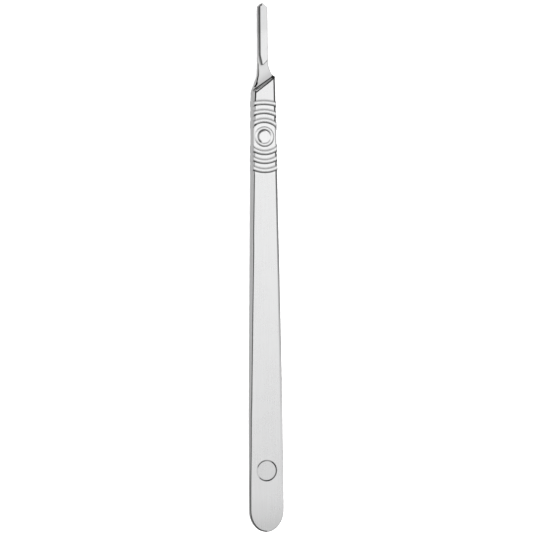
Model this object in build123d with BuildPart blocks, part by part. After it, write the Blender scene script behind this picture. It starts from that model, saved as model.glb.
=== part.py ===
from build123d import *
import math
import os

os.makedirs("parts", exist_ok=True)

# Long flat scalpel handle, one piece of stainless steel. Millimetres.
# While it is drawn, Y runs along the handle with the blade end at +Y, X is
# across the broad face and Z is through the thickness, with the mid plane at
# Z = 0. At the end it is tipped onto its own resting line.

# ---- driving dimensions -------------------------------------------------
LENGTH = 212.0  # tip of the blade tang to the end of the butt
Y_TIP = LENGTH / 2
Y_BUTT = -LENGTH / 2

# body: a bar that widens towards the butt and thins out towards it
WIDTH_Y0 = 68.7  # station of the first width
WIDTH_AT_Y0 = 9.62  # width there
WIDTH_GAIN = 0.0270  # added width for each mm towards the butt
WIDTH_BULGE = 3.1  # fullness of the sides, greatest two thirds of the way down
WIDTH_SPAN = 170.0  # length over which it comes and goes
T_Y0 = 52.5  # station of the grip's thickness
T_SPAN = 148.3  # from there to the far station
T_GRIP = 4.20  # thickness at the grip
T_LINEAR = 1.3165  # loss of thickness over the span, straight part
T_CURVED = 1.2335  # and the part that grows with the square
EDGE_R_TAIL = 0.25  # rounding of the long edges, even along the tail
EDGE_R_GRIP = 1.15  # and at the first width's station
TAIL_Y = -60.0  # the tail ends here and the rounding starts to grow

# butt: half an ellipse in plan
BUTT_CENTRE_Y = -97.3
BUTT_B = BUTT_CENTRE_Y - Y_BUTT

# blade end
TANG_LEFT = 2.13  # the tang under the blade, left of the centre line
TANG_RIGHT = 2.0  # and right of it
TANG_BOTTOM_Z = -1.07
TANG_EDGE_R = 0.35
SEAT_Z = 0.33  # plane that the blade lies on
SEAT_EDGE_R = 0.12
SHOULDER_ANGLE = 34.3  # slope of the shoulder across the handle
SHOULDER_FOOT_Y = 73.93  # where its foot crosses the centre line
SHOULDER_TOP_Y = 73.07  # and its upper edge
SHOULDER_TOP_Z = 2.165  # height where the upper edge's rounding ends
SHOULDER_FOOT_R = 0.35
SHOULDER_EDGE_R = 0.28
SHOULDER_EDGE_END = 8.0  # slope left where the rounding meets the face

# rail that holds the blade: an undercut lip on a narrower waist
RAIL_W = 3.36  # width of the lip
RAIL_TOP_Z = 1.60
GROOVE_H = 0.50  # height of the undercut, for a 0.4 mm blade
GROOVE_D = 0.42  # depth of the undercut
RAIL_REAR_Y = 81.0  # the rail's rear point
GROOVE_REAR_Y = 86.0  # the undercut runs out here
RAIL_EDGE_R = 0.28

# grip: a ring and three bowed ribs each side of it, on both faces
RING_X = -0.26  # the ring and ribs sit a little left of the middle
RING_Y = 52.3
RING_CREST_R = 3.30
RING_BEAD_W = 1.70
RING_BEAD_H = 0.36
RIB_R = (6.45, 10.0, 13.6)  # from the ring's centre to the middle of each rib
UPPER_BOW = (1.6, 2.0, 7.0)  # radius of each upper rib's bow over that
LOWER_BOW = (2.1, 0.0, -2.2)  # and of each lower rib's
RIB_W = 2.05
RIB_H = 0.34
RIB_END_INSET = 0.03  # the rib ends stop this far inside the side walls
RIB_END_R = 0.55  # rounding of the rib ends, tighter than the bar's edges
BEAD_ROOT = 0.15  # length of the flanks under the face

REST_FLAT = 0.03  # depth of the flats that the handle rests on

# shallow plain round stamped near the butt
STAMP_Y = -81.4
STAMP_R = 4.05
STAMP_DEPTH = 0.14


def width_at(y):
    s = max(0.0, (WIDTH_Y0 - y) / WIDTH_SPAN)
    return WIDTH_AT_Y0 + WIDTH_GAIN * (WIDTH_Y0 - y) + WIDTH_BULGE * s * s * (1 - s)


def flare_at(y):
    """Growth of the half width for each mm towards the butt."""
    s = (WIDTH_Y0 - y) / WIDTH_SPAN
    return 0.5 * (WIDTH_GAIN + WIDTH_BULGE * (2 * s - 3 * s * s) / WIDTH_SPAN)


def thickness_at(y):
    u = (T_Y0 - y) / T_SPAN
    return T_GRIP - T_LINEAR * u - T_CURVED * u * u


def face_slope_at(y):
    u = (T_Y0 - y) / T_SPAN
    return 0.5 * (T_LINEAR + 2 * T_CURVED * u) / T_SPAN


def edge_radius_at(y):
    return EDGE_R_TAIL + max(0.0, y - TAIL_Y) * (EDGE_R_GRIP - EDGE_R_TAIL) / (WIDTH_Y0 - TAIL_Y)


def face_plane(y):
    """Plane that touches the upper face at station y, with its x across."""
    z = thickness_at(y) / 2
    return Plane(origin=(0, y, z), x_dir=(1, 0, 0), z_dir=(0, -face_slope_at(y), 1))


# ---- tail: plate with the butt's half ellipse, edges rounded all round ---
# the ellipse runs a little past its widest points, to meet the flaring sides
lead = math.atan(flare_at(BUTT_CENTRE_Y) * BUTT_B / 7.05)
join_y = BUTT_CENTRE_Y + BUTT_B * math.sin(lead)
butt_a = width_at(join_y) / 2 / math.cos(lead)
with BuildPart() as tail:
    with BuildSketch(Plane.XY.offset(-3)):
        with BuildLine():
            end_arc = EllipticalCenterArc(
                (0, BUTT_CENTRE_Y), butt_a, BUTT_B,
                start_angle=180 - math.degrees(lead), arc_size=180 + 2 * math.degrees(lead),
            )
            right_side = [(width_at(y) / 2, y) for y in (-85.0, -72.0, TAIL_Y)]
            Spline(end_arc @ 1, *right_side, tangents=[end_arc % 1, (-flare_at(TAIL_Y), 1)])
            Line(right_side[-1], (-right_side[-1][0], TAIL_Y))
            Spline(
                *[(-x, y) for x, y in reversed(right_side)], end_arc @ 0,
                tangents=[(-flare_at(TAIL_Y), -1), end_arc % 0],
            )
        make_face()
    extrude(amount=6)
    with BuildSketch(Plane.YZ.offset(-10)):
        with BuildLine():
            side = [(y, thickness_at(y) / 2) for y in (-110, -95, -80, TAIL_Y)]
            Spline(*side)
            Line(side[-1], (side[-1][0], -side[-1][1]))
            Spline(*[(y, -z) for y, z in reversed(side)])
            Line((side[0][0], -side[0][1]), side[0])
        make_face()
    extrude(amount=20, mode=Mode.INTERSECT)
    fillet(
        tail.edges().filter_by(lambda e: abs(e.center().Z) > 0.3 and e.center().Y < TAIL_Y - 1),
        radius=EDGE_R_TAIL,
    )
tail_end = tail.faces().sort_by(Axis.Y)[-1]

# ---- plan outline of the head, wide of the bar's sides below it ----------
OUT = 9.0
with BuildPart() as plan:
    with BuildSketch(Plane.XY.offset(-4)) as outline:
        with BuildLine():
            Polyline((-OUT, 67.6), (-OUT, -120), (OUT, -120), (OUT, 75.6), (4.72, 75.6))
            ThreePointArc((4.72, 75.6), (4.50, 76.64), (3.92, 77.36))
            Spline(
                (3.92, 77.36), (3.32, 78.1), (2.60, 79.8), (TANG_RIGHT, 83.6),
                tangents=[(-0.70, 0.71), (0, 1)],
            )
            Polyline(
                (TANG_RIGHT, 83.6), (TANG_RIGHT, 104.45), (-0.30, Y_TIP + 0.16),
                (-TANG_LEFT, 104.60), (-TANG_LEFT, 82.5),
            )
            Spline(
                (-TANG_LEFT, 82.5), (-2.18, 79.0), (-2.32, 77.0), (-3.17, 74.3), (-4.08, 71.9), (-4.62, 70.1),
                (-4.95, 67.6),
                tangents=[(0, -1), (-0.10, -1)],
            )
            Line((-4.95, 67.6), (-OUT, 67.6))
        make_face()
        fillet(outline.vertices().filter_by(lambda v: v.Y > Y_TIP), radius=0.55)
        fillet(outline.vertices().filter_by(lambda v: 103 < v.Y < 104.9), radius=0.42)
    extrude(amount=8)

# ---- envelope of the ribs: they run out to the side walls and end rounded -
with BuildPart() as rib_envelope:
    for y in (72.0, 52.5, 33.0):
        with BuildSketch(Plane.XZ.offset(-y)):
            RectangleRounded(
                width_at(y) - 2 * RIB_END_INSET, thickness_at(y) + 2 * RIB_H + 0.06, RIB_END_R
            )
    loft()

# ---- ring and ribs, as beads round the ring's centre, on both faces ------
grip_face = face_plane(RING_Y)
up, normal = grip_face.y_dir, grip_face.z_dir
ring_centre = grip_face.origin + Vector(RING_X, 0, 0)
rows = [(RING_CREST_R, RING_BEAD_W, RING_BEAD_H, 0, 0, 360)]
rows += [(r + bow, RIB_W, RIB_H, -bow, 1, 180) for r, bow in zip(RIB_R, UPPER_BOW)]
rows += [(r + bow, RIB_W, RIB_H, bow, -1, 180) for r, bow in zip(RIB_R, LOWER_BOW)]
with BuildPart() as beads:
    for r, w, h, centre_up, side_of_ring, arc in rows:
        centre = ring_centre + up * centre_up
        with BuildSketch(Plane(origin=centre, x_dir=(1, 0, 0), z_dir=-up)):
            with BuildLine():
                crown = ThreePointArc((r - w / 2, 0), (r, h), (r + w / 2, 0))
                # the flanks run on below the face, so each foot is a clean crossing
                run = BEAD_ROOT * (crown % 1)
                Polyline(crown @ 1, (crown @ 1) + run, (r + w / 2 + run.X, -1.3), (r - w / 2 - run.X, -1.3),
                         (crown @ 0) + Vector(-run.X, run.Y), crown @ 0)
            make_face()
        revolve(axis=Axis(centre, -normal if side_of_ring < 0 else normal), revolution_arc=arc)
    add(rib_envelope.part, mode=Mode.INTERSECT)
    mirror(about=Plane.XY)

# ---- plan outline of the rail -------------------------------------------
HALF_RAIL = RAIL_W / 2
with BuildSketch() as rail:
    with BuildLine():
        Polyline(
            (HALF_RAIL, 83.0), (HALF_RAIL, 104.2), (-0.30, Y_TIP - 0.08), (-HALF_RAIL, 104.35),
            (-HALF_RAIL, 85.0), (-0.66, RAIL_REAR_Y - 0.35), close=True,
        )
    make_face()
    fillet(rail.vertices().filter_by(lambda v: v.Y > 105), radius=0.5)
    fillet(rail.vertices().filter_by(lambda v: 103 < v.Y < 105), radius=0.46)
    fillet(rail.vertices().filter_by(lambda v: v.Y < 82), radius=0.46)
    fillet(rail.vertices().filter_by(lambda v: 82 < v.Y < 84), radius=0.9)
    fillet(rail.vertices().filter_by(lambda v: 84 < v.Y < 86), radius=2.2)

# ---- rail: lip, waist inset under it, solid again at its rear end --------
with BuildPart() as blade_rail:
    with BuildSketch(Plane.XY.offset(SEAT_Z - 0.3)):
        add(rail.sketch)
        offset(amount=-GROOVE_D, mode=Mode.REPLACE)
    extrude(amount=GROOVE_H + 0.5)
    with BuildSketch(Plane.XY.offset(SEAT_Z - 0.3)):
        add(rail.sketch)
        with Locations((0, GROOVE_REAR_Y - 5)):
            Rectangle(10, 10, mode=Mode.INTERSECT)
    extrude(amount=GROOVE_H + 0.5)
    with BuildSketch(Plane.XY.offset(SEAT_Z + GROOVE_H)):
        add(rail.sketch)
    extrude(amount=RAIL_TOP_Z - SEAT_Z - GROOVE_H)
    fillet(blade_rail.faces().sort_by(Axis.Z)[-1].edges(), radius=RAIL_EDGE_R)

# ---- the handle ---------------------------------------------------------
a = math.radians(SHOULDER_ANGLE)
along = Vector(math.cos(a), math.sin(a), 0)
across = Vector(-math.sin(a), math.cos(a), 0)
foot = SHOULDER_FOOT_Y * math.cos(a)
lean = (SHOULDER_FOOT_Y - SHOULDER_TOP_Y) * math.cos(a) / (SHOULDER_TOP_Z - SEAT_Z)
riser_angle = math.degrees(math.atan2(1, lean))
riser_top = SHOULDER_TOP_Z - SHOULDER_EDGE_R * (
    math.cos(math.radians(SHOULDER_EDGE_END)) - math.cos(math.radians(riser_angle))
)

with BuildPart() as handle:
    add(tail.part)
    # bar with rounded long edges, on from the tail
    sections = [tail_end]
    for y in (-20.0, 20.0, 60.0, 108.0):
        with BuildSketch(Plane.XZ.offset(-y), mode=Mode.PRIVATE) as section:
            RectangleRounded(width_at(y), thickness_at(y), edge_radius_at(y))
        sections.append(section.sketch.face())
    loft(sections=sections)
    # trimmed to the plan outline
    add(plan.part, mode=Mode.INTERSECT)
    # front of the blade end cut away down to the seat, up to the sloping shoulder
    with BuildSketch(Plane(origin=along * 20, x_dir=across, z_dir=along)) as shoulder_cut:
        with BuildLine():
            rounding = JernArc(
                start=(foot - lean * (riser_top - SEAT_Z), riser_top), tangent=(-lean, 1),
                radius=SHOULDER_EDGE_R, arc_size=riser_angle - SHOULDER_EDGE_END,
            )
            Polyline(
                rounding @ 1,
                (rounding @ 1) + Vector(-10, 10 * math.tan(math.radians(SHOULDER_EDGE_END))),
                (100, 3.6), (100, SEAT_Z), (foot, SEAT_Z), rounding @ 0,
            )
        make_face()
        fillet(shoulder_cut.vertices().group_by(Axis.Z)[0].sort_by(Axis.Y)[0], radius=SHOULDER_FOOT_R)
    extrude(amount=60, mode=Mode.SUBTRACT)
    # back of the blade end runs out in a long ramp
    with BuildSketch(Plane.YZ.offset(-10)):
        with BuildLine():
            Spline(
                (66.6, -2.25), (73.6, -1.80), (79.4, -1.30), (86.0, TANG_BOTTOM_Z),
                tangents=[(1, 0.05), (1, 0)],
            )
            Polyline((86.0, TANG_BOTTOM_Z), (110, TANG_BOTTOM_Z), (110, -5), (66.6, -5), (66.6, -2.25))
        make_face()
    extrude(amount=20, mode=Mode.SUBTRACT)
    # small roundings of the blade end
    fillet(
        handle.edges().filter_by(lambda e: e.center().Z < -1 and e.center().Y > 77.1 and abs(e.center().X) > 0.05),
        radius=TANG_EDGE_R,
    )
    fillet(
        handle.edges().filter_by(
            lambda e: abs(e.center().Z - SEAT_Z) < 1e-3 and e.center().Y > 77.2 and e.center().X < 4
        ),
        radius=SEAT_EDGE_R,
    )
    # rail, grip beads and the stamped round
    add(blade_rail.part)
    add(beads.part)
    with BuildSketch(face_plane(STAMP_Y).offset(0.2)):
        Circle(STAMP_R)
    extrude(amount=-0.2 - STAMP_DEPTH, mode=Mode.SUBTRACT)

# ---- at rest: on the last rib of its back and on the belly of the slightly
# bowed back face, both polished to one flat, with the middle of its box over
# the origin -----------------------------------------------------------------
u_rib = (T_Y0 - RING_Y + RIB_R[-1]) / T_SPAN
z_rib = -(thickness_at(RING_Y) / 2 - face_slope_at(RING_Y) * RIB_R[-1] + RIB_H)
u_belly = u_rib + math.sqrt(u_rib**2 - 2 * (T_GRIP / 2 + z_rib - T_LINEAR * u_rib / 2) / T_CURVED)
rest_tilt = math.degrees(math.atan((T_LINEAR / 2 + T_CURVED * u_belly) / T_SPAN))
box = handle.part.rotate(Axis.X, rest_tilt).bounding_box()
with BuildPart() as scalpel_handle:
    with Locations((-box.center().X, -box.center().Y, -box.min.Z - REST_FLAT)):
        add(handle.part, rotation=(rest_tilt, 0, 0))
    split(bisect_by=Plane.XY, keep=Keep.TOP)

scalpel_handle.part.label = "handle"
export_step(scalpel_handle.part, "parts/handle.step")

print("rest tilt", round(rest_tilt, 4), "belly at", round(T_Y0 - u_belly * T_SPAN, 1))
print("moved by", -box.center().X, -box.center().Y, -box.min.Z - REST_FLAT)
print("size", scalpel_handle.part.bounding_box().size, "volume", round(scalpel_handle.part.volume, 1))
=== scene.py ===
import math

import bpy
from mathutils import Matrix, Vector

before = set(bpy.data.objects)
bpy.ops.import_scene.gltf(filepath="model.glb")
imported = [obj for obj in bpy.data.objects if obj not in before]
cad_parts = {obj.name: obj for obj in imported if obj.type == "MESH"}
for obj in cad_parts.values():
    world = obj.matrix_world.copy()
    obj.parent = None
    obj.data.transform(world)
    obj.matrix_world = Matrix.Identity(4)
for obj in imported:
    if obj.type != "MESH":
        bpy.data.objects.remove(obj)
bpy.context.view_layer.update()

scene = bpy.context.scene

# ---- the handle's own axes: it lies tipped a little about X ----------------
TIP = math.radians(0.6552)
SHIFT = Vector((0.0, -0.0000051934, 0.0019059789))
TIPPED = Matrix.Translation(SHIFT) @ Matrix.Rotation(TIP, 4, "X")


# ---- node helpers ----------------------------------------------------------
def new_material(name):
    m = bpy.data.materials.new(name)
    m.use_nodes = True
    for n in list(m.node_tree.nodes):
        m.node_tree.nodes.remove(n)
    out = m.node_tree.nodes.new("ShaderNodeOutputMaterial")
    bsdf = m.node_tree.nodes.new("ShaderNodeBsdfPrincipled")
    m.node_tree.links.new(bsdf.outputs["BSDF"], out.inputs["Surface"])
    return m, m.node_tree, bsdf


def node(tree, kind, **values):
    n = tree.nodes.new(kind)
    for k, v in values.items():
        if k.startswith("in_"):
            n.inputs[k[3:]].default_value = v
        else:
            setattr(n, k, v)
    return n


# ---- sums of numbers that vary over the surface -----------------------------
class Num:
    """A number that varies over the surface, with its node tree."""

    def __init__(self, tree, socket):
        self.tree, self.socket = tree, socket

    def _do(self, op, *others, clamp=False):
        n = self.tree.nodes.new("ShaderNodeMath")
        n.operation = op
        n.use_clamp = clamp
        for i, v in enumerate((self, *others)):
            if isinstance(v, Num):
                self.tree.links.new(v.socket, n.inputs[i])
            else:
                n.inputs[i].default_value = v
        return Num(self.tree, n.outputs[0])

    def __add__(self, o):
        return self._do("ADD", o)

    def __radd__(self, o):
        return self._do("ADD", o)

    def __sub__(self, o):
        return self._do("SUBTRACT", o)

    def __rsub__(self, o):
        return (self * -1.0) + o

    def __mul__(self, o):
        return self._do("MULTIPLY", o)

    def __rmul__(self, o):
        return self._do("MULTIPLY", o)

    def __truediv__(self, o):
        return self._do("DIVIDE", o)

    def abs(self):
        return self._do("ABSOLUTE")

    def sqrt(self):
        return self._do("SQRT")

    def low(self, o):
        return self._do("MINIMUM", o)

    def high(self, o):
        return self._do("MAXIMUM", o)

    def power(self, o):
        return self._do("POWER", o)

    def step(self, start, end):
        """0 before start, 1 after end, smooth between; start may be above end."""
        n = self.tree.nodes.new("ShaderNodeMapRange")
        n.interpolation_type = "SMOOTHSTEP"
        self.tree.links.new(self.socket, n.inputs["Value"])
        flip = start > end
        n.inputs["From Min"].default_value = min(start, end)
        n.inputs["From Max"].default_value = max(start, end)
        n.inputs["To Min"].default_value = 1.0 if flip else 0.0
        n.inputs["To Max"].default_value = 0.0 if flip else 1.0
        return Num(self.tree, n.outputs[0])

    def blend(self, other, mask):
        """self where mask is 0, other where it is 1"""
        return self * (1.0 - mask) + (other * mask if isinstance(other, Num) else mask * other)


# ---- the handle's shape, in millimetres on its own axes ---------------------
WIDTH_Y0, WIDTH_AT_Y0, WIDTH_GAIN, WIDTH_BULGE, WIDTH_SPAN = 68.7, 9.62, 0.0270, 3.1, 170.0
EDGE_R_TAIL, EDGE_R_GRIP, TAIL_Y = 0.25, 1.15, -60.0
BUTT_CENTRE_Y, BUTT_B, BUTT_A = -97.3, 8.7, 7.05
RING_X, RING_Y, RING_CREST_R, RIB_R = -0.26, 52.3, 3.30, (6.45, 10.0, 13.6)
UPPER_BOW, LOWER_BOW = (1.6, 2.0, 7.0), (2.1, 0.0, -2.2)
SEAT_Z = 0.33
STAMP_Y, STAMP_R = -81.4, 4.05
# where the painted dark line of shade lies, outwards from the start of the rounding, by Y
LEFT_LINE_0, LEFT_LINE_Y = 0.08, 0.003
RIGHT_LINE_0, RIGHT_LINE_Y = -0.09, 0.0063


# ---- satin steel -----------------------------------------------------------
def satin_steel():
    m, t, bsdf = new_material("satin_steel")
    link = t.links.new
    where = node(t, "ShaderNodeTexCoord")
    own = node(t, "ShaderNodeMapping", vector_type="POINT")
    own.inputs["Rotation"].default_value = (-TIP, 0.0, 0.0)
    own.inputs["Location"].default_value = -1000.0 * (Matrix.Rotation(-TIP, 3, "X") @ SHIFT)
    own.inputs["Scale"].default_value = (1000.0, 1000.0, 1000.0)
    link(where.outputs["Object"], own.inputs["Vector"])
    xyz = node(t, "ShaderNodeSeparateXYZ")
    link(own.outputs["Vector"], xyz.inputs["Vector"])
    x, y, z = (Num(t, xyz.outputs[k]) for k in "XYZ")
    facing = node(t, "ShaderNodeSeparateXYZ")
    link(where.outputs["Normal"], facing.inputs["Vector"])
    turned = Num(t, facing.outputs["X"]).abs()

    def noise(scale, detail=3.0, roughness=0.55):
        """noise over the handle, scale in waves for each millimetre on each axis"""
        fit = node(t, "ShaderNodeMapping", vector_type="POINT")
        fit.inputs["Scale"].default_value = scale
        link(own.outputs["Vector"], fit.inputs["Vector"])
        n = node(t, "ShaderNodeTexNoise", in_Scale=1.0, in_Detail=detail, in_Roughness=roughness)
        link(fit.outputs["Vector"], n.inputs["Vector"])
        return Num(t, n.outputs["Fac"])

    brush = noise((5.0, 0.10, 5.0), 4.0, 0.6)  # fine lengthwise brushing
    streak = noise((1.1, 0.012, 1.1), 2.0)  # broad faint streaks
    grain = noise((3.2, 3.2, 3.2), 4.0, 0.65)  # fine grain of the neck and sides
    polish = noise((0.12, 0.12, 0.12), 3.0)  # uneven polish

    # inset: distance inwards from the bar's side; out: distance outwards from
    # where its broad face starts to round off
    far = ((WIDTH_Y0 - y) / WIDTH_SPAN).high(0.0)
    half = 0.5 * (WIDTH_AT_Y0 + WIDTH_GAIN * (WIDTH_Y0 - y) + WIDTH_BULGE * far * far * (1.0 - far))
    inset = half - x.abs()
    xe, ye = x / BUTT_A, (y - BUTT_CENTRE_Y) / BUTT_B
    reach = (x * x + (y - BUTT_CENTRE_Y) * (y - BUTT_CENTRE_Y)).sqrt()
    inset_butt = reach / (xe * xe + ye * ye).sqrt().high(0.01) - reach
    is_butt = y.step(BUTT_CENTRE_Y + 0.05, BUTT_CENTRE_Y - 0.05)
    inset = inset.blend(inset_butt, is_butt)
    radius = EDGE_R_TAIL + (y - TAIL_Y).high(0.0) * ((EDGE_R_GRIP - EDGE_R_TAIL) / (WIDTH_Y0 - TAIL_Y))
    out = radius - inset
    left = x.step(0.3, -0.3)
    # distances inwards from the neck's left and right outlines
    left_side = (
        2.15 + 0.085 * (79.0 - y).high(0.0) + 0.23 * (77.0 - y).high(0.0) + 0.064 * (74.3 - y).high(0.0)
        - 0.079 * (71.9 - y).high(0.0) - 0.168 * (70.1 - y).high(0.0)
    )
    in_left = x + left_side
    below = (83.6 - y).high(0.0)
    in_right = 2.0 + 0.0275 * below * below + 0.0040 * below * below * below - x
    # distances inwards from the rail's outline, which narrows to its rear
    in_rail_left = x + (0.66 + (y - 80.65) * 0.2345).low(1.68)
    in_rail_right = (((y - 80.65) * 0.9957 - 0.66 - x) * 0.709).low(1.68 - x)

    # ribs: distance from each crest, counted towards the blade
    x_ring, upper = x - RING_X, y.step(RING_Y - 0.01, RING_Y + 0.01)
    crests = []
    for r, bow_up, bow_down in zip(RIB_R, UPPER_BOW, LOWER_BOW):
        up, down = y - (RING_Y - bow_up), y - (RING_Y + bow_down)
        above = (x_ring * x_ring + up * up).sqrt() - (r + bow_up)
        below_it = (r + bow_down) - (x_ring * x_ring + down * down).sqrt()
        crests.append(below_it.blend(above, upper))
    near_rib = crests[0].abs()
    for c in crests[1:]:
        near_rib = near_rib.low(c.abs())
    on_rib = near_rib.step(0.95, 0.55)
    beside_ring = (y - RING_Y).abs().step(4.6, 3.4)
    on_body = y.step(73.4, 72.6)
    in_front = z.step(SEAT_Z + 0.12, SEAT_Z + 0.06) * z.step(SEAT_Z - 0.3, SEAT_Z - 0.1)
    foot = y - 73.93 - x * math.tan(math.radians(34.3))
    seat = in_front * foot.step(-0.4, -0.1)

    # sides: painted shade, darker past the edge of the face, where the finish is also rougher
    edge_at = LEFT_LINE_0 + LEFT_LINE_Y * y + 0.17 * y.step(-70.0, -92.0) - 0.13 * y.step(66.0, 69.5)
    edge_at = edge_at - 0.12 * (y + 23.0).abs().step(37.0, 29.0)
    side = (out - edge_at).step(0.05, 0.30)
    side_rib = inset.step(0.62, 0.28)
    side = side.blend(side_rib, on_rib.high(beside_ring * 0.8)) * y.step(73.6, 73.0)
    # walls facing sideways get the same painted shade
    wall = turned.step(0.45, 0.80) * y.step(73.0, 73.6)
    side = side.high(wall)
    # painted shade: a dark line along the left edge of the face, broken by the ribs
    bare = (1.0 - on_rib) * (1.0 - beside_ring) * on_body
    near_head = y.step(62.0, 69.0)
    left_line = (out - edge_at).abs()
    left_line = left_line.step(0.34, 0.12).blend(left_line.step(0.42, 0.18), near_head)
    left_line = left_line * left * bare * (0.90 + 0.10 * near_head)
    left_line = left_line * y.step(70.9, 70.4) * (1.0 - 0.40 * (y - RING_Y + 0.5).abs().step(15.0, 12.5))
    # painted shade: a weaker dark line along the right, further out towards the head, fading to the butt
    right_line = (out - RIGHT_LINE_0 - RIGHT_LINE_Y * y).abs().step(0.36, 0.12)
    right_line = right_line * (1.0 - left) * (1.0 - on_rib) * (1.0 - beside_ring) * y.step(76.2, 75.6)
    right_line = right_line * ((y + 90.0) / 150.0).high(0.0).low(1.0)
    # painted shade along the neck's left edge, nearly black at the shoulder's foot
    neck_in = 0.10 + 0.07 * (80.0 - y).high(0.0) + 0.17 * (74.5 - y).high(0.0) - 0.50 * (73.5 - y).high(0.0)
    neck_line = (in_left - neck_in).abs()
    neck_line = neck_line.step(0.40, 0.14).blend(neck_line.step(0.56, 0.30), y.step(74.4, 73.9))
    neck_line = neck_line * z.step(-0.2, 0.1) * y.step(71.9, 72.4)
    neck_line = neck_line * y.step(82.6, 81.0) * (0.66 + 0.07 * (80.0 - y).high(0.0)).low(0.99)
    # painted shade: a faint dark line along the neck's right edge
    neck_right = (in_right - 0.18).abs().step(0.30, 0.10) * in_front * y.step(75.8, 76.4) * 0.38
    # rail: painted shade on its left side and along its rounded edges, and a painted dark spot near its tip
    on_rail = z.step(SEAT_Z + 0.02, SEAT_Z + 0.10) * y.step(80.0, 80.4)
    rear = y.step(84.2, 83.0)
    rail_line = (in_rail_left.step(0.46, 0.22) * 0.74).high(in_rail_right.step(0.36, 0.14) * (0.22 + 0.55 * rear))
    tip_dark_spot = ((x + 1.10) * (x + 1.10) + (y - 105.1) * (y - 105.1)).sqrt().step(0.62, 0.30)
    rail_line = rail_line.high(0.92 * tip_dark_spot) * on_rail
    # the stamped round's edge: a painted dark line of shade, stronger or weaker round it as the light falls
    from_stamp = (x * x + (y - STAMP_Y) * (y - STAMP_Y)).sqrt()
    stamp_edge = (from_stamp - STAMP_R).abs().step(0.38, 0.14) * z.step(-0.1, 0.1)
    dx, dy = x / from_stamp.high(0.2), (y - STAMP_Y) / from_stamp.high(0.2)
    gap = (dx * -0.985 - dy * 0.174).step(0.76, 0.95)
    hot = (dx * 0.75 + dy * 0.66).step(0.84, 0.98).high((dx * 0.17 - dy * 0.985).step(0.88, 0.99))
    faint = (dx * 0.20 + dy * 0.98).step(0.90, 0.99)
    stamp_edge = stamp_edge * (0.82 - 0.62 * gap + 0.16 * hot - 0.24 * faint)
    stamp_floor = from_stamp.step(4.0, 3.7) * z.step(-0.1, 0.1)
    # shoulder: painted shade, a dark line at the foot, another at the upper edge, black at the right end
    over_seat = z.step(SEAT_Z - 0.1, SEAT_Z + 0.02) * y.step(70.4, 70.8)
    ends = 0.55 + 0.45 * in_left.step(0.15, 0.75)
    foot_line = (foot + 0.04).abs().step(0.42, 0.20) * over_seat * z.step(SEAT_Z + 0.7, SEAT_Z + 0.4) * ends
    crest_at = foot + 1.25 - 0.073 * x - 0.10 * (x - 2.4).high(0.0)
    crest_line = crest_at.abs().step(0.44, 0.20) * z.step(SEAT_Z + 1.1, SEAT_Z + 1.4)
    crest_line = crest_line * y.step(69.4, 69.9) * (out - edge_at).step(0.35, 0.10)
    corner = x.step(3.1, 3.6) * foot.step(0.7, 0.2) * foot.step(-1.25, -0.85)
    # painted shade: a thin dark line at the foot of each rib, on the side towards the butt
    rib_line = (crests[0] + 0.78).abs()
    for c in crests[1:]:
        rib_line = rib_line.low((c + 0.78).abs())
    rib_end = (x + 4.4).abs().step(1.2, 0.5)
    upper = y.step(RING_Y - 3.0, RING_Y + 3.0)
    rib_line = rib_line.step(0.36, 0.10).blend(rib_line.step(0.50, 0.22), rib_end * upper)
    rib_line = rib_line * (out.step(0.9, 0.5)) * (0.50 + (0.28 + 0.18 * upper) * rib_end)
    # and a soft grey painted shade past its other foot
    rib_grey = (crests[0] - 1.15).abs()
    for c in crests[1:]:
        rib_grey = rib_grey.low((c - 1.15).abs())
    rib_line = rib_line.high(0.26 * rib_grey.step(0.50, 0.15) * out.step(0.3, -0.1))
    rib_line = rib_line * (y - RING_Y).abs().step(3.6, 4.6) * z.abs().step(0.8, 1.2)
    # ring: painted shade along the left of its hollow and at the lower right of its foot
    from_ring = (x_ring * x_ring + (y - RING_Y) * (y - RING_Y)).sqrt()
    rx, ry = x_ring / from_ring.high(0.2), (y - RING_Y) / from_ring.high(0.2)
    hollow = (from_ring - 2.55).abs().step(0.72, 0.26) * (rx * -0.94 + ry * 0.342).step(0.0, 0.34)
    hollow = hollow * (0.50 + 0.24 * (rx * -0.57 + ry * 0.82).step(0.84, 0.97).high((rx * -0.64 - ry * 0.77).step(0.84, 0.97)))
    ring_foot = (from_ring - 3.95).abs().step(0.40, 0.12) * (rx * 0.574 - ry * 0.819).step(0.84, 0.96)
    ring_line = hollow.high(0.42 * ring_foot) * z.abs().step(0.8, 1.2)

    # grey of the bare metal, darkened below by the painted shade lines and spots
    tone = 0.70 + 0.09 * (brush - 0.5) + 0.05 * (streak - 0.5) + 0.05 * (polish - 0.5)
    # a little lighter across the ribbed grip
    grip_band = (y - RING_Y).abs().step(15.5, 14.3)
    tone = tone + 0.05 * grip_band
    # painted shade on the sides, darker still towards the tang's tip
    tone = tone.blend(0.48 + 0.22 * (grain - 0.5) - 0.20 * y.step(88.0, 98.0), side)
    # the seat: a darker grey, with painted shade deepening it towards the shoulder's foot
    tone = tone.blend(0.62 - 0.12 * foot.step(5.0, 0.5) + 0.16 * (grain - 0.5), seat)
    tone = tone * (1.0 - 0.06 * stamp_floor)
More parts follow.
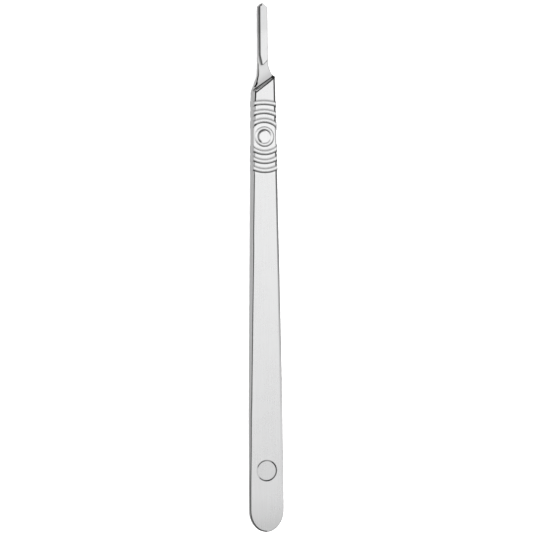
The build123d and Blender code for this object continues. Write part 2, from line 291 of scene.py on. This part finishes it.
    # a little darker towards the butt's end and along the tang
    tone = tone * (1.0 - 0.06 * y.step(-91.0, -97.0) - 0.09 * y.step(-97.0, -105.0))
    tone = tone * (1.0 - 0.05 * y.step(82.0, 83.0) - 0.09 * y.step(92.5, 96.5))
    # all the painted shade lines and spots together, which darken the grey and make it rougher
    painted_shade = (left_line * 0.98).high(right_line * 0.90).high(neck_line).high(neck_right).high(rail_line)
    painted_shade = painted_shade.high(stamp_edge).high(0.95 * foot_line).high(0.95 * crest_line).high(0.97 * corner)
    painted_shade = painted_shade.high(rib_line).high(ring_line)
    tone = tone * (1.0 - painted_shade)
    tone = tone.high(0.008)
    grey = node(t, "ShaderNodeCombineColor")
    for k, f in (("Red", 0.998), ("Green", 1.0), ("Blue", 1.003)):
        link((tone * f).socket, grey.inputs[k])
    link(grey.outputs["Color"], bsdf.inputs["Base Color"])
    bsdf.inputs["Metallic"].default_value = 1.0
    rough = 0.23 + 0.10 * polish + 0.06 * (brush - 0.5)
    rough = rough.blend(0.34 + 0.10 * (grain - 0.5), side.high(seat))
    rough = rough.blend(0.45, painted_shade)
    link(rough.socket, bsdf.inputs["Roughness"])
    height = brush.blend(grain, side.high(seat))
    bump = node(t, "ShaderNodeBump", in_Strength=0.22, in_Distance=0.00002)
    link(height.socket, bump.inputs["Height"])
    link(bump.outputs["Normal"], bsdf.inputs["Normal"])
    return m


steel = satin_steel()
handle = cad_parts["handle"]
handle.data.materials.clear()
handle.data.materials.append(steel)

# ---- floor and backdrop ----------------------------------------------------
def plain(name, color, roughness):
    m, t, bsdf = new_material(name)
    speck = node(t, "ShaderNodeTexNoise", in_Scale=60.0, in_Detail=2.0)
    mix = node(t, "ShaderNodeMix", data_type="RGBA")
    mix.inputs["A"].default_value = (*[c * 0.995 for c in color], 1)
    mix.inputs["B"].default_value = (*color, 1)
    t.links.new(speck.outputs["Fac"], mix.inputs["Factor"])
    t.links.new(mix.outputs["Result"], bsdf.inputs["Base Color"])
    bsdf.inputs["Roughness"].default_value = roughness
    bsdf.inputs["Specular IOR Level"].default_value = 0.0
    return m


me = bpy.data.meshes.new("floor")
R = 4.0
me.from_pydata([(-R, -R, 0), (R, -R, 0), (R, R, 0), (-R, R, 0)], [], [(0, 1, 2, 3)])
floor = bpy.data.objects.new("floor", me)
scene.collection.objects.link(floor)
floor.location.z = -0.00002
me.materials.append(plain("floor_white", (0.86, 0.86, 0.86), 0.9))


# ---- lights ----------------------------------------------------------------
# Plain white all round for the floor and the view. What shines sees a soft tent
# that is bright overhead and at the left and dim low down at the right and at
# both ends. Angles are degrees: across is from the zenith towards +X,
# lengthwise is from level towards +Y.
def curve(tree, value, lo, hi, stops):
    span = node(tree, "ShaderNodeMapRange")
    span.inputs["From Min"].default_value = lo
    span.inputs["From Max"].default_value = hi
    tree.links.new(value, span.inputs["Value"])
    ramp = node(tree, "ShaderNodeValToRGB")
    ramp.color_ramp.interpolation = "EASE"
    e = ramp.color_ramp.elements
    while len(e) > 1:
        e.remove(e[-1])
    first = True
    for at, grey in stops:
        el = e[0] if first else e.new((at - lo) / (hi - lo))
        el.position = (at - lo) / (hi - lo)
        el.color = (grey / 2, grey / 2, grey / 2, 1)
        first = False
    tree.links.new(span.outputs["Result"], ramp.inputs["Fac"])
    twice = node(tree, "ShaderNodeMath", operation="MULTIPLY")
    twice.inputs[1].default_value = 2.0
    tree.links.new(ramp.outputs["Color"], twice.inputs[0])
    return twice.outputs["Value"]


ACROSS = [
    (-180, 0.70), (-162, 0.80), (-105, 0.80), (-75, 0.95), (-45, 1.05), (0, 1.08), (18, 1.08), (28, 1.18),
    (36, 1.0), (50, 0.48), (80, 0.34), (112, 0.24), (150, 0.20), (180, 0.70),
]
LENGTHWISE = [
    (-90, 0.06), (-40, 0.07), (-20, 0.42), (-9.5, 0.67), (-6, 0.92), (0, 1.06), (8, 1.12), (18, 1.05),
    (30, 0.62), (45, 0.42), (70, 0.30), (90, 0.30),
]
GLOW = 0.55  # low at both ends
WHITE = 2.4

world = bpy.data.worlds.new("studio")
scene.world = world
world.use_nodes = True
wt = world.node_tree
for n in list(wt.nodes):
    wt.nodes.remove(n)
w_out = node(wt, "ShaderNodeOutputWorld")
coord = node(wt, "ShaderNodeTexCoord")
axes = node(wt, "ShaderNodeSeparateXYZ")
wt.links.new(coord.outputs["Generated"], axes.inputs["Vector"])


def calc(op, a, b=None):
    n = node(wt, "ShaderNodeMath", operation=op)
    for i, v in enumerate((a, b)):
        if isinstance(v, (int, float)):
            n.inputs[i].default_value = v
        elif v is not None:
            wt.links.new(v, n.inputs[i])
    return n.outputs["Value"]


across = calc("MULTIPLY", calc("ARCTAN2", axes.outputs["X"], axes.outputs["Z"]), 180 / math.pi)
lengthwise = calc("MULTIPLY", calc("ARCSINE", axes.outputs["Y"]), 180 / math.pi)
tent = calc("MULTIPLY", curve(wt, across, -180, 180, ACROSS), curve(wt, lengthwise, -90, 90, LENGTHWISE))
aside = curve(wt, calc("ABSOLUTE", across), 0, 180, [(0, 0.0), (54, 0.0), (66, 1.0), (180, 1.0)])
endways = curve(wt, calc("ABSOLUTE", lengthwise), 0, 90, [(0, 0.0), (30, 0.0), (42, GLOW), (90, GLOW)])
tent = calc("MAXIMUM", tent, calc("MULTIPLY", aside, endways))
shiny = node(wt, "ShaderNodeBackground")
wt.links.new(tent, shiny.inputs["Color"])
white = node(wt, "ShaderNodeBackground")
white.inputs["Color"].default_value = (1, 1, 1, 1)
white.inputs["Strength"].default_value = WHITE
rays = node(wt, "ShaderNodeLightPath")
either = node(wt, "ShaderNodeMixShader")
wt.links.new(rays.outputs["Is Glossy Ray"], either.inputs[0])
wt.links.new(white.outputs["Background"], either.inputs[1])
wt.links.new(shiny.outputs["Background"], either.inputs[2])
wt.links.new(either.outputs["Shader"], w_out.inputs["Surface"])
floor.visible_glossy = False

# ---- camera: 18 degrees from the left of the front face --------------------
THETA = math.radians(18.0)
ROLL = math.radians(0.454)
DISTANCE = 0.9
MM_PER_PX = 0.4009
right = Vector((math.cos(THETA), 0.0, math.sin(THETA)))
along = Vector((0.0, 1.0, 0.0))
out = Vector((-math.sin(THETA), 0.0, math.cos(THETA)))
cam_x = right * math.cos(ROLL) - along * math.sin(ROLL)
cam_y = along * math.cos(ROLL) + right * math.sin(ROLL)
aim = cam_x * (2.05 * MM_PER_PX / 1000) + cam_y * (0.9 * MM_PER_PX / 1000)
local = Matrix((cam_x, cam_y, out)).transposed().to_4x4()
local.translation = aim + out * DISTANCE
camera = bpy.data.objects.new("camera", bpy.data.cameras.new("camera"))
scene.collection.objects.link(camera)
camera.matrix_world = TIPPED @ local
camera.data.sensor_width = 36.0
camera.data.lens = 36.0 * DISTANCE / (533 * MM_PER_PX / 1000)
camera.data.clip_start = 0.01
camera.data.clip_end = 50.0
scene.camera = camera

scene.view_settings.view_transform = "Standard"
scene.view_settings.look = "None"
